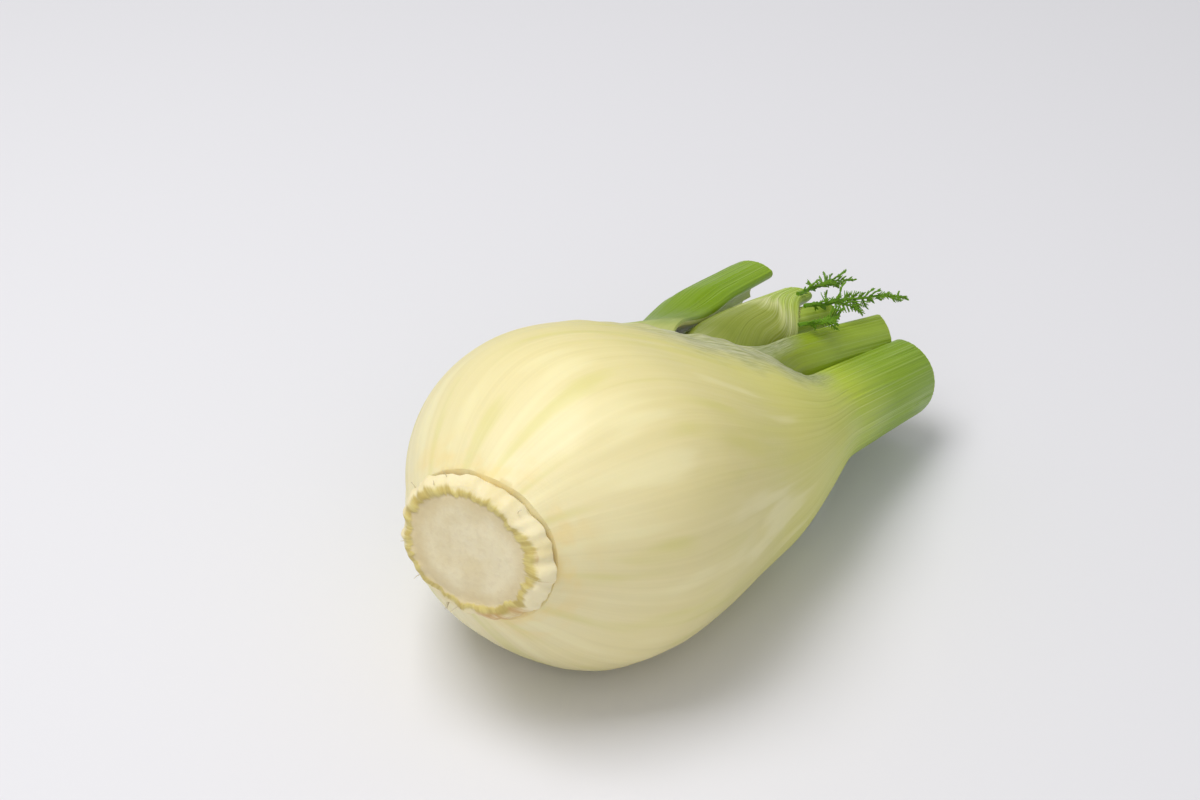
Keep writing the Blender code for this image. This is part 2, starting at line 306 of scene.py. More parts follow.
def leaf_mesh(name, stations, places):
    """A closed leaf through its sections, with its attributes; the last station is the cut end."""
    bands = len(places) - 2                       # places on the inside, between the margins
    ring = len(places) + bands
    points, along, across = [], [], []
    both = np.concatenate([places, places[-2:0:-1]])
    for s in stations:
        outer, inner = sheath_section(name, s, places)
        section = np.concatenate([outer, inner[-2:0:-1]])
        wave = 0.03 * np.sin(9 * both + 1) + 0.02 * np.sin(23 * both) + 0.01 * np.sin(41 * both + 2)
        points.append(np.column_stack([s + wave * (1 - ease(0.5, 1.1, s)), section]))
        along.append(np.full(ring, s))
        across.append(both)
    faces = ring_faces(len(stations), ring)
    kinds = [OUTSIDE if i < len(places) - 1 else INSIDE for _ in stations[1:] for i in range(ring)]

    def cap(row, flip, kind):
        """Close one end with rows of faces between its outside and inside points."""
        base = row * ring
        outside = [base + i for i in range(1, len(places) - 1)]
        inside = [base + ring - i for i in range(1, len(places) - 1)]
        start = np.concatenate(points)
        rows = [outside]
        for r in range(1, CUT_ROWS):
            t = r / CUT_ROWS
            rows.append(list(range(sum(map(len, points)), sum(map(len, points)) + bands)))
            points.append(start[outside] * (1 - t) + start[inside] * t)
            along.append(np.full(bands, stations[row]))
            across.append(places[1:-1])
        rows.append(inside)
        margins = (base, base + len(places) - 1)
        for low, high in zip(rows, rows[1:]):
            strip = [(low[i], low[i + 1], high[i + 1], high[i]) for i in range(bands - 1)]
            strip += [(margins[0], low[0], high[0]), (low[-1], margins[1], high[-1])]
            faces.extend(face if flip else face[::-1] for face in strip)
            kinds.extend([kind] * len(strip))

    cap(0, False, INSIDE)
    first_cut = sum(map(len, points))
    cap(len(stations) - 1, True, CUT)
    points = np.concatenate(points)
    rim = np.zeros(len(points))
    end_ring = points[(len(stations) - 1) * ring:len(stations) * ring, 1:]
    rim[first_cut:] = distance_to_outline(points[first_cut:, 1:], end_ring)
    points[first_cut:, 0] -= CUT_DIP * ease(0.12, 0.5, rim[first_cut:])

    mesh = bpy.data.meshes.new(name)
    mesh.from_pydata(world(points).tolist(), [], faces)
    kinds = np.array(kinds)
    remember(mesh, "POINT", along=np.concatenate(along), across=np.concatenate(across), rim=rim)
    remember(mesh, "FACE", inside=kinds == INSIDE, cut=kinds == CUT)
    return mesh


print("A stalk's cut end has", CUT_ROWS, "rows and dips", CUT_DIP, "cm")

# %% [markdown]
# ## From a mesh to a piece
# A mesh made from listed points can hold doubled points and faces that look the wrong way, and a
# modifier's result is not yet the piece's own mesh. These helpers see to both, so that every piece
# ends as one plain closed mesh whose place is in its points and whose object stays at the origin.

# %% Helpers for a piece
CREASE = math.radians(40)      # corners sharper than this stay crisp


def smooth(mesh):
    """Shade a mesh smoothly, with its true corners left crisp."""
    mesh.polygons.foreach_set("use_smooth", [True] * len(mesh.polygons))
    mesh.set_sharp_from_angle(angle=CREASE)


def weld(mesh):
    """Merge doubled points and turn every face outward."""
    bm = bmesh.new()
    bm.from_mesh(mesh)
    bmesh.ops.remove_doubles(bm, verts=bm.verts, dist=1e-6)
    bmesh.ops.recalc_face_normals(bm, faces=bm.faces)
    bm.to_mesh(mesh)
    bm.free()


def put(name, data):
    """Put an object in the scene, at the origin."""
    thing = bpy.data.objects.new(name, data)
    bpy.context.scene.collection.objects.link(thing)
    return thing


def add_piece(name, mesh):
    """Weld a finished mesh and put it in the scene."""
    weld(mesh)
    return put(name, mesh)


def keep_result(piece, modifier):
    """Make what a modifier gives the piece's own mesh, and take the modifier away."""
    bpy.context.view_layer.update()
    graph = bpy.context.evaluated_depsgraph_get()
    made = bpy.data.meshes.new_from_object(piece.evaluated_get(graph))
    piece.modifiers.remove(modifier)
    piece.data = made


def dress(piece, node):
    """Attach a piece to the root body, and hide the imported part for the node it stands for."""
    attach(piece, "root")
    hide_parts(node)


print("Corners sharper than", round(math.degrees(CREASE)), "degrees stay crisp")

# %% [markdown]
# ## Arithmetic on sockets
# Both geometry trees and materials do their sums with Math nodes, and a sum reads best as a sum.
# Wire wraps one output socket, and its operators add the nodes. Graph adds any other node from
# its type, its settings and the values or wires that feed it.

# %% Wires and graphs
class Wire:
    """One output socket that can be added, multiplied and so on."""

    def __init__(self, graph, socket):
        self.graph = graph
        self.socket = socket

    def __add__(self, other):
        return self.graph.sum("ADD", self, other)

    def __radd__(self, other):
        return self.graph.sum("ADD", other, self)

    def __sub__(self, other):
        return self.graph.sum("SUBTRACT", self, other)

    def __rsub__(self, other):
        return self.graph.sum("SUBTRACT", other, self)

    def __mul__(self, other):
        return self.graph.sum("MULTIPLY", self, other)

    def __rmul__(self, other):
        return self.graph.sum("MULTIPLY", other, self)

    def __truediv__(self, other):
        return self.graph.sum("DIVIDE", self, other)

    def magnitude(self):
        """The value without its sign."""
        return self.graph.sum("ABSOLUTE", self)

    def also(self, output):
        """Another output of the same node."""
        return Wire(self.graph, self.socket.node.outputs[output])

    def ease(self, low, high):
        """0 at low, 1 at high, smooth between."""
        settings = {"interpolation_type": "SMOOTHSTEP"}
        return self.graph.node("ShaderNodeMapRange", settings, {0: self, 1: low, 2: high})


print("Wires can be added, subtracted, multiplied and divided")

# %% A graph of nodes
class Graph:
    """A node tree that is written as expressions."""

    def __init__(self, tree):
        self.tree = tree

    def node(self, kind, settings=None, inputs=None, output=0):
        """Add a node with its settings and inputs (by index or name), and return one output."""
        made = self.tree.nodes.new(kind)
        for name, value in (settings or {}).items():
            if name == "stops":
                self.set_stops(made.color_ramp, value)
            else:
                setattr(made, name, value)
        for key, value in (inputs or {}).items():
            if isinstance(value, Wire):
                self.tree.links.new(value.socket, made.inputs[key])
            else:
                made.inputs[key].default_value = value
        return Wire(self, made.outputs[output])

    def set_stops(self, ramp, stops):
        """Give a colour ramp its stops, each (place, colour)."""
        while len(ramp.elements) < len(stops):
            ramp.elements.new(1.0)
        for element, (place, colour) in zip(ramp.elements, stops):
            element.position = place
            element.color = (*colour, 1.0)

    def sum(self, operation, *values):
        """A Math node."""
        return self.node("ShaderNodeMath", {"operation": operation}, dict(enumerate(values)))

    def vector(self, x, y, z):
        """A vector from three numbers or wires."""
        return self.node("ShaderNodeCombineXYZ", None, {0: x, 1: y, 2: z})

    def noise(self, vector, scale=1.0, detail=2.0):
        """Smooth random values about 0.5."""
        inputs = {"Vector": vector, "Scale": scale, "Detail": detail}
        return self.node("ShaderNodeTexNoise", None, inputs)

    def random(self, low, high, seed):
        """A random value for each point or copy."""
        inputs = {2: low, 3: high, "Seed": seed}
        return self.node("FunctionNodeRandomValue", {"data_type": "FLOAT"}, inputs, 1)

    def mixed(self, amount, first, second):
        """A colour between two others."""
        return self.node("ShaderNodeMix", {"data_type": "RGBA"}, {0: amount, 6: first, 7: second}, 2)


def colour(red, green, blue):
    """A colour given as 0 to 255 on a screen, as the linear light that nodes use."""
    channels = [c / 255 for c in (red, green, blue)]
    return tuple(c / 12.92 if c <= 0.04045 else ((c + 0.055) / 1.055) ** 2.4 for c in channels)


def rgba(red, green, blue):
    """The same, with full opacity, for a socket."""
    return (*colour(red, green, blue), 1.0)


print("Mid grey in linear light is", round(colour(128, 128, 128)[0], 3))

# %% [markdown]
# ## Ribs as a Geometry Nodes tree
# Fine strands run up every fennel leaf, low on the pale sheath and strong on the green stalk. A
# tree can raise them all: it reads where each point is on the leaf, makes noise that is long
# along it and narrow across it, and pushes the skin out by that much. Ribs made of mesh catch the
# light at the outline, where a bump map shows nothing.

# %% Helpers for a tree
def new_tree(name, inputs):
    """A Geometry Nodes tree with named inputs and one geometry output."""
    tree = bpy.data.node_groups.new(name, "GeometryNodeTree")
    tree.interface.new_socket("Geometry", in_out="INPUT", socket_type="NodeSocketGeometry")
    for label, kind, value in inputs:
        socket = tree.interface.new_socket(label, in_out="INPUT", socket_type=kind)
        if value is not None:
            socket.default_value = value
    tree.interface.new_socket("Geometry", in_out="OUTPUT", socket_type="NodeSocketGeometry")
    graph = Graph(tree)
    source = tree.nodes.new("NodeGroupInput")
    given = {socket.name: Wire(graph, socket) for socket in source.outputs if socket.name}
    return graph, given


def finish_tree(graph, geometry, material):
    """End a tree in Realize Instances and Set Material."""
    whole = graph.node("GeometryNodeRealizeInstances", None, {0: geometry})
    dressed = graph.node("GeometryNodeSetMaterial", None, {"Geometry": whole, "Material": material})
    end = graph.tree.nodes.new("NodeGroupOutput")
    graph.tree.links.new(dressed.socket, end.inputs[0])
    return graph.tree


def named(graph, label):
    """A float attribute of the geometry."""
    return graph.node("GeometryNodeInputNamedAttribute", {"data_type": "FLOAT"}, {"Name": label})


print("A tree's inputs are set by name, and it ends in Set Material")

# %% The rib tree
def rib_tree():
    """Raise strands along a leaf, low on its sheath and higher on its stalk."""
    number = "NodeSocketFloat"
    graph, given = new_tree("raised_strands", [
        ("Strands", number, 40.0), ("Sheath Height", number, 0.0002), ("Stalk Height", number, 0.0004),
        ("Stalk Start", number, 9.0), ("Stalk End", number, 13.0), ("Seed", number, 0.0),
        ("Material", "NodeSocketMaterial", None)])
    along, across = named(graph, "along"), named(graph, "across")
    skin = (1 - named(graph, "inside")) * (1 - named(graph, "cut"))
    stalk = graph.node("ShaderNodeMapRange", {"interpolation_type": "SMOOTHSTEP"},
                       {0: along, 1: given["Stalk Start"], 2: given["Stalk End"]})
    fine = graph.noise(graph.vector(across * given["Strands"], along * 0.10, given["Seed"]), detail=1.0)
    broad = graph.noise(graph.vector(across * 9.0, along * 0.22, given["Seed"] + 5.0), detail=2.0)
    raised = (fine - 0.5) * (given["Sheath Height"] * (1 - stalk) + given["Stalk Height"] * stalk)
    raised = raised * 2.0 + (broad - 0.5) * given["Sheath Height"] * 3.0
    raised = raised * skin * (1 - across.magnitude().ease(0.9, 1.0))
    normal = graph.node("GeometryNodeInputNormal")
    offset = graph.node("ShaderNodeVectorMath", {"operation": "SCALE"}, {0: normal, "Scale": raised})
    inputs = {"Geometry": given["Geometry"], "Offset": offset}
    moved = graph.node("GeometryNodeSetPosition", None, inputs)
    return finish_tree(graph, moved, given["Material"])


def apply_tree(piece, tree, **sizes):
    """Run a tree on a piece, with its inputs set by name, and keep the result as a plain mesh."""
    modifier = piece.modifiers.new(tree.name, "NODES")
    modifier.node_group = tree
    sockets = [item for item in tree.interface.items_tree if item.in_out == "INPUT"]
    identifiers = {socket.name: socket.identifier for socket in sockets}
    for label, value in sizes.items():
        modifier[identifiers[label.replace("_", " ")]] = value
    keep_result(piece, modifier)


RIBS = rib_tree()
print("The rib tree has", len(RIBS.nodes), "nodes")

# %% [markdown]
# ## The skin of a leaf
# A fennel sheath is cream at the root, where no light reached it, and turns through pale yellow
# to green in the stalk. Strands a little darker and greener run along it, and a thin wax gives a
# soft sheen. One function makes every leaf's skin from its own list of colours, so the leaves
# stay a family. It also paints the pale inside, the cut end with its moist green rim and white
# pith, and the papery grey margin of the outer leaf.

# %% Helpers for a material
def attribute(graph, label):
    """A float attribute in a material."""
    return graph.node("ShaderNodeAttribute", {"attribute_name": label}, None, 2)


def new_material(name):
    """An empty material with a Principled shader, and the graph that fills it."""
    made = bpy.data.materials.new(name)
    made.use_nodes = True
    graph = Graph(made.node_tree)
    return made, graph, made.node_tree.nodes["Principled BSDF"]


def connect(graph, shader, **wires):
    """Feed a shader's inputs, named with underscores for spaces."""
    for label, wire in wires.items():
        graph.tree.links.new(wire.socket, shader.inputs[label.replace("_", " ")])


def set_flesh(shader, glow, sheen_coat):
    """The constant part of every plant surface: light seeps in a little, and wax shines."""
    shader.inputs["Subsurface Weight"].default_value = glow
    shader.inputs["Subsurface Radius"].default_value = (1.0, 0.8, 0.35)
    shader.inputs["Subsurface Scale"].default_value = 0.004
    shader.inputs["Coat Weight"].default_value = sheen_coat
    shader.inputs["Coat Roughness"].default_value = 0.2
    shader.inputs["Specular IOR Level"].default_value = 0.28


print("Every plant surface lets a little light in, and has a coat of wax")

# %% The cut end of a stalk
CUT_HALF = 0.55        # centimetres from the rim to the middle of a cut end


def cut_colour(graph, rim):
    """A freshly cut stalk: a green rim, pale watery flesh with bright specks, and white pith."""
    stops = [(0.0, colour(120, 150, 40)), (0.16, colour(168, 190, 84)), (0.45, colour(200, 212, 126)),
             (1.0, colour(226, 230, 178))]
    where = graph.node("ShaderNodeTexCoord", None, None, 3)
    base = graph.node("ShaderNodeValToRGB", {"stops": stops}, {0: rim / CUT_HALF})
    cells = graph.node("ShaderNodeTexVoronoi", None, {"Vector": where, "Scale": 900.0})
    specks = cells.ease(0.30, 0.12)
    ring = rim.ease(0.08, 0.14) * (1 - rim.ease(0.26, 0.4))
    grain = graph.noise(where, 1400.0, 3.0)
    base = graph.mixed(specks * ring * 0.7, base, rgba(232, 238, 190))
    return graph.mixed((grain - 0.5).magnitude() * 0.6, base, rgba(150, 176, 70))


print("A cut end goes from green to white over", CUT_HALF, "cm")

# %% One leaf's skin
LEAF_LENGTH = 17.2     # what a leaf's colour list runs along, in centimetres


def leaf_skin(name, greens, strands, contrast, papery=0.0, seed=0.0):
    """The skin of one leaf. greens is its colours, each (centimetres along, colour)."""
    made, graph, shader = new_material(name)
    along, across = attribute(graph, "along"), attribute(graph, "across")
    inside, cut, rim = attribute(graph, "inside"), attribute(graph, "cut"), attribute(graph, "rim")
    where = graph.node("ShaderNodeTexCoord", None, None, 3)

    drift = (graph.noise(graph.vector(across * 7.0, along * 0.35, seed), 1.0, 3.0) - 0.5) * 1.6
    place = (along + drift) / LEAF_LENGTH
    stops = [(at / LEAF_LENGTH, shade) for at, shade in greens]
    skin = graph.node("ShaderNodeValToRGB", {"stops": stops}, {0: place})

    fine = graph.noise(graph.vector(across * strands, along * 0.10, seed), 1.0, 1.0)
    hair = graph.noise(graph.vector(across * strands * 3.1, along * 0.16, seed + 3.0), 1.0, 1.0)
    broad = graph.noise(graph.vector(across * 9.0, along * 0.22, seed + 5.0), 1.0, 2.0)
    stalk = along.ease(8.0, 13.5)
    strength = (0.16 + 0.84 * stalk) * contrast
    dark = (fine.ease(0.50, 0.30) * 0.7 + hair.ease(0.52, 0.34) * 0.4) * strength
    light = (fine.ease(0.56, 0.72) * 0.8 + hair.ease(0.60, 0.74) * 0.4) * strength
    deeper = graph.node("ShaderNodeHueSaturation", None,
                        {"Saturation": 1.22, "Value": 0.62, "Color": skin})
    paler = graph.node("ShaderNodeHueSaturation", None,
                       {"Hue": 0.49, "Saturation": 0.72, "Value": 1.30, "Color": skin})
    skin = graph.mixed(dark, skin, deeper)
    skin = graph.mixed(light, skin, paler)
    sheath = (1 - along.ease(7.0, 11.0)) * (1 - inside)
    skin = graph.mixed(broad.ease(0.50, 0.66) * sheath * 0.42, skin, rgba(212, 208, 112))
    skin = graph.mixed(broad.ease(0.46, 0.32) * sheath * 0.45, skin, rgba(246, 238, 190))

    if papery:
        torn = graph.noise(graph.vector(across * 8.0, along * 1.6, seed), 1.0, 4.0) - 0.5
        ragged = across + torn * 0.22
        edge = ragged.ease(0.58, 0.88) * along.ease(5.2, 8.0) * (1 - along.ease(11.6, 12.8)) * papery
        wisp = graph.noise(graph.vector(across * 70.0, along * 2.2, seed), 1.0, 4.0)
        paper = graph.mixed(wisp.ease(0.35, 0.65), rgba(140, 147, 104), rgba(190, 194, 160))
        skin = graph.mixed(edge * 0.8, skin, paper)
    # A warm orange tint at the leaf's base. It is the leaf's own colour, made lighter as painted light
    # to lift the shade of the groove beside the crown.
    warm_tint_and_painted_light = graph.noise(graph.vector(across * 6.0, along * 1.5, seed + 8.0), 1.0, 3.0).ease(0.42, 0.62)
    skin = graph.mixed((1 - along.ease(0.55, 1.5)) * warm_tint_and_painted_light * 0.5, skin, rgba(240, 212, 138))
    flesh = graph.mixed(along.ease(9.0, 13.0), rgba(226, 222, 176), rgba(186, 200, 120))
    # Painted light: near the base, and fully below 0.8 cm, the inside takes the lighter cream of the
    # outside in place of its flesh colour. This lifts the shade on the sheath's base end.
    skin = graph.mixed(inside * along.ease(0.8, 2.0) * 0.8, skin, flesh)
    skin = graph.mixed(cut, skin, cut_colour(graph, rim))

    mottle = graph.noise(where, 60.0, 4.0)
    rough = 0.36 + mottle * 0.14 + cut * 0.12 - light * 0.05
    pores = graph.noise(where, 900.0, 2.0) * 0.25
    height = fine * (0.5 + 0.5 * stalk) + hair * 0.5 * (0.4 + 0.6 * stalk) + pores
    bump = graph.node("ShaderNodeBump", None, {"Strength": 0.35, "Distance": 0.0003, "Height": height})
    wet = graph.noise(where, 35.0, 3.0).ease(0.40, 0.66) * 0.26 + 0.06
    set_flesh(shader, 0.15, 0.12)
    connect(graph, shader, Base_Color=skin, Roughness=rough, Coat_Weight=wet, Normal=bump)
    return made


print("A leaf's colours run along", LEAF_LENGTH, "cm")

# %% The leaves' colours
PALE = [(0.5, colour(238, 226, 178)), (3.0, colour(234, 222, 166)), (6.0, colour(224, 214, 146)),
        (8.5, colour(214, 210, 124)), (10.6, colour(202, 206, 98)), (12.4, colour(178, 198, 54)),
        (14.4, colour(142, 174, 8)), (17.1, colour(130, 166, 4))]
GREEN = [(2.0, colour(230, 228, 150)), (7.0, colour(176, 182, 78)), (9.5, colour(126, 140, 26)),
         (11.5, colour(140, 158, 28)), (13.5, colour(156, 182, 34)), (16.9, colour(166, 194, 50))]
STRIPED = [(2.6, colour(230, 228, 150)), (8.0, colour(150, 158, 62)), (10.5, colour(128, 142, 40)),
           (12.4, colour(156, 168, 66)), (13.0, colour(204, 210, 136)), (13.6, colour(180, 200, 84)),
           (15.0, colour(170, 198, 66))]
FAR = [(0.6, colour(243, 232, 180)), (5.0, colour(230, 226, 146)), (8.5, colour(160, 176, 50)),
       (10.5, colour(116, 144, 4)), (13.0, colour(128, 164, 0)), (15.7, colour(136, 172, 6))]
skins = {
    "outer_leaf": leaf_skin("outer_leaf_skin", PALE, 46.0, 0.55, papery=1.0, seed=1.0),
    "far_leaf": leaf_skin("far_leaf_skin", FAR, 40.0, 0.6, seed=2.0),
    "near_leaf": leaf_skin("near_leaf_skin", GREEN, 30.0, 0.35, papery=0.8, seed=3.0),
    "inner_leaf": leaf_skin("inner_leaf_skin", STRIPED, 52.0, 1.0, seed=4.0),
    "heart_leaf": leaf_skin("heart_leaf_skin", STRIPED, 30.0, 0.5, seed=5.0),
}
print("Made", len(skins), "leaf skins")

# %% [markdown]
# ## The five leaves
# Now the sections, the ribs and the skins come together. Points crowd towards the margins, where
# the wall rounds over, so the places across a leaf follow a sine. The heart leaf is simpler: it
# is rolled solid, and fills whatever room the sheaths leave.
#
# On a real bulb the leaves lie against each other and give way. Here a Boolean does that. Each
# leaf is cut back by its neighbours, which are grown by a fifth of a millimetre first, so that a
# hair of air stays between them and no two skins flicker through each other.

# %% Keep the leaves apart
CLEARANCE = 0.0002     # what is kept free between two leaves that would press together


def keep_clear(piece, others):
    """Cut a piece back wherever one of the leaves around it would press into it."""
    for other in others:
        grown = put("grown_leaf", other.data.copy())
        places, normals = np.empty((2, len(grown.data.vertices) * 3))
        grown.data.vertices.foreach_get("co", places)
        grown.data.vertex_normals.foreach_get("vector", normals)
        grown.data.vertices.foreach_set("co", places + normals * CLEARANCE)
        cut = piece.modifiers.new("clear_of_neighbour", "BOOLEAN")
        cut.operation, cut.solver, cut.object = "DIFFERENCE", "MANIFOLD", grown
        keep_result(piece, cut)
        bpy.data.objects.remove(grown)


print("Leaves stay", CLEARANCE * 1000, "mm apart")

# %% Make the sheaths
FINENESS = {"outer_leaf": (190, 121), "far_leaf": (150, 91), "near_leaf": (150, 81),
            "inner_leaf": (180, 91)}
SHEATH_RIBS = {"Strands": 60.0, "Sheath_Height": 0.00019, "Stalk_Height": 0.00035}

made_leaves = []
for name, (rows, columns) in FINENESS.items():
    places = np.sin(np.linspace(-math.pi / 2, math.pi / 2, columns))
    places = 0.6 * places + 0.4 * np.linspace(-1, 1, columns)
    first, last = LEAVES[name]["ends"]
    leaf = add_piece(name + "_skin", leaf_mesh(name, np.linspace(first, last, rows), places))
    apply_tree(leaf, RIBS, **SHEATH_RIBS, Seed=float(len(name)), Material=skins[name])
    keep_clear(leaf, made_leaves)
    made_leaves.append(leaf)
    smooth(leaf.data)
    dress(leaf, name)
    print(leaf.name, "has", len(leaf.data.polygons), "faces")

# %% The heart leaf's sections
HEART_ENDS = (4.4, 15.2)
HEART_JOINS = (7.5, 12.0)
HEART_STALK = [(7.5, 0.15, 1.00, 1.00), (9.5, 0.22, 1.60, 0.80), (11.5, 0.32, 2.15, 0.58),
               (13.0, 0.50, 2.55, 0.44), (15.2, 1.02, 2.66, 0.33)]
HEART_SIDES = 64
HEART_ROWS = 90


def heart_section(s):
    """The heart leaf's outline at s: the room inside every sheath, drawn in to its stalk."""
    angle = np.linspace(0, 2 * math.pi, HEART_SIDES, endpoint=False)
    room = bulb_radius(s, angle) - layers_outside("heart_leaf", s, angle)
    for _ in range(4):
        room = (np.roll(room, 1) + room + np.roll(room, -1)) / 3
    room *= ease(HEART_ENDS[0] - 1.5, HEART_ENDS[0] + 1, s)
    f, g, radius = curve(HEART_STALK, s)
    into_stalk = ease(*HEART_JOINS, s)
    body = polar(curve(BULB, s)[:2], room, angle)
    return body * (1 - into_stalk) + polar((f, g), radius, angle) * into_stalk


print("The heart leaf is", HEART_ENDS[1] - HEART_ENDS[0], "cm long")

# %% Make the heart leaf
HEART_DIP = 0.06       # how far the middle of its cut end has sunk, in centimetres
HEART_HALF = 0.33      # centimetres from the rim to the middle of its cut end


def heart_mesh():
    """Join the heart leaf's sections, and close its ends with rings that shrink to a point."""
    stations = np.linspace(*HEART_ENDS, HEART_ROWS)
    rings = [np.column_stack([np.full(HEART_SIDES, s), heart_section(s)]) for s in stations]
    shrink = np.linspace(1, 0, 7)[1:-1]
    first, last = rings[0], rings[-1]
    start = [first.mean(0) + (first - first.mean(0)) * t for t in shrink[::-1]]
    end = [last.mean(0) + (last - last.mean(0)) * t - (HEART_DIP * (1 - t), 0, 0) for t in shrink]
    rings = [*start, *rings, *end]
    points = np.concatenate([*rings, [first.mean(0)], [last.mean(0) - (HEART_DIP, 0, 0)]])
    n, count = HEART_SIDES, len(rings)
    faces = ring_faces(count, n)
    tips = (count * n, count * n + 1)
    faces += [(tips[0], (i + 1) % n, i) for i in range(n)]
    faces += [((count - 1) * n + i, (count - 1) * n + (i + 1) % n, tips[1]) for i in range(n)]
    mesh = bpy.data.meshes.new("heart_leaf_skin")
    mesh.from_pydata(world(points).tolist(), [], faces)
    turn = np.tile(np.linspace(-1, 1, n, endpoint=False), count)
    cut = np.zeros(len(faces))
    cut[(count - 1 - len(shrink)) * n:(count - 1) * n] = 1
    cut[-n:] = 1
    rim = np.zeros(len(points))
    for k, t in enumerate(shrink):
        rim[(count - len(shrink) + k) * n:][:n] = HEART_HALF * (1 - t)
    rim[-1] = HEART_HALF
    remember(mesh, "POINT", along=points[:, 0], across=np.append(turn, [0, 0]), rim=rim)
    remember(mesh, "FACE", inside=np.zeros(len(faces)), cut=cut)
    return mesh


heart = add_piece("heart_leaf_skin", heart_mesh())
apply_tree(heart, RIBS, Strands=24.0, Sheath_Height=0.0001, Stalk_Height=0.0002, Seed=9.0,
           Material=skins["heart_leaf"])
keep_clear(heart, made_leaves)
smooth(heart.data)
dress(heart, "heart_leaf")
print(heart.name, "has", len(heart.data.polygons), "faces")

# %% [markdown]
# ## The root crown
# Where the root was trimmed off there is a flat oval face, beige and a little moist, and a lumpy
# cream rim round it. Just inside the rim runs a ragged olive ring, which is the layer the roots
# grew from. The crown is one surface turned about the axis, with its height and reach changed by
# slow waves, so the rim is uneven the way a knife and a root leave it.

# %% The crown's shape
CROWN_FLATNESS = 0.79
CROWN_SIDES = 240
CROWN_OUTLINE = [  # s, radius: the face, the rim, the groove behind it, the stem inside the leaves
    (0.03, 0.0), (0.0, 0.8), (0.0, 1.45), (0.02, 1.66), (0.03, 1.80), (0.08, 1.95), (0.20, 2.10),
    (0.34, 2.19), (0.42, 2.20), (0.47, 2.06), (0.48, 1.6), (0.9, 1.52), (1.3, 1.66), (1.8, 1.66),
    (2.8, 1.48), (3.6, 1.05), (4.05, 0.55), (4.2, 0.0)]


def crown_mesh():
    """The crown's outline, made fine, turned about the axis and made uneven."""
    knots = [(k, *point) for k, point in enumerate(CROWN_OUTLINE)]
    outline = np.array([curve(knots, t) for t in np.linspace(0, len(knots) - 1, 170)])
    angle = np.linspace(0, 2 * math.pi, CROWN_SIDES, endpoint=False)
    rings = []
    for s, radius in outline:
        rim = ease(1.5, 1.9, radius) * (1 - ease(0.42, 0.5, s))
        lumps = 0.06 * uneven(2.0, angle) + 0.030 * np.sin(11 * angle + 1) + 0.022 * np.sin(19 * angle)
        lumps = lumps + 0.014 * np.sin(37 * angle + 2)
        on_face = ease(0.2, 1.2, radius) * (1 - ease(1.9, 2.0, radius))
        height = 0.012 * (1 + np.sin(3 * angle + 4 * radius)) * on_face
        height = height - rim * 0.05 * (1 + 0.6 * np.sin(5 * angle + 2.0) + 0.4 * np.sin(23 * angle))
        ring = polar((0.0, 0.0), radius + rim * (lumps - 0.03), angle) * (1, CROWN_FLATNESS)
        rings.append(np.column_stack([s + height, ring]))
    mesh = bpy.data.meshes.new("root_crown_skin")
    mesh.from_pydata(world(np.concatenate(rings)).tolist(), [], ring_faces(len(rings), CROWN_SIDES))
    along, reach = np.repeat(outline, CROWN_SIDES, axis=0).T
    side = (reach > 1.98) & (along > 0.1) & (along < 0.42)
    turn = np.tile(angle / math.pi - 1, len(rings))
    remember(mesh, "POINT", turn=turn, reach=reach, along=along, side=side)
    return mesh


print("The crown is", 2 * max(radius for _, radius in CROWN_OUTLINE), "cm across its rim")

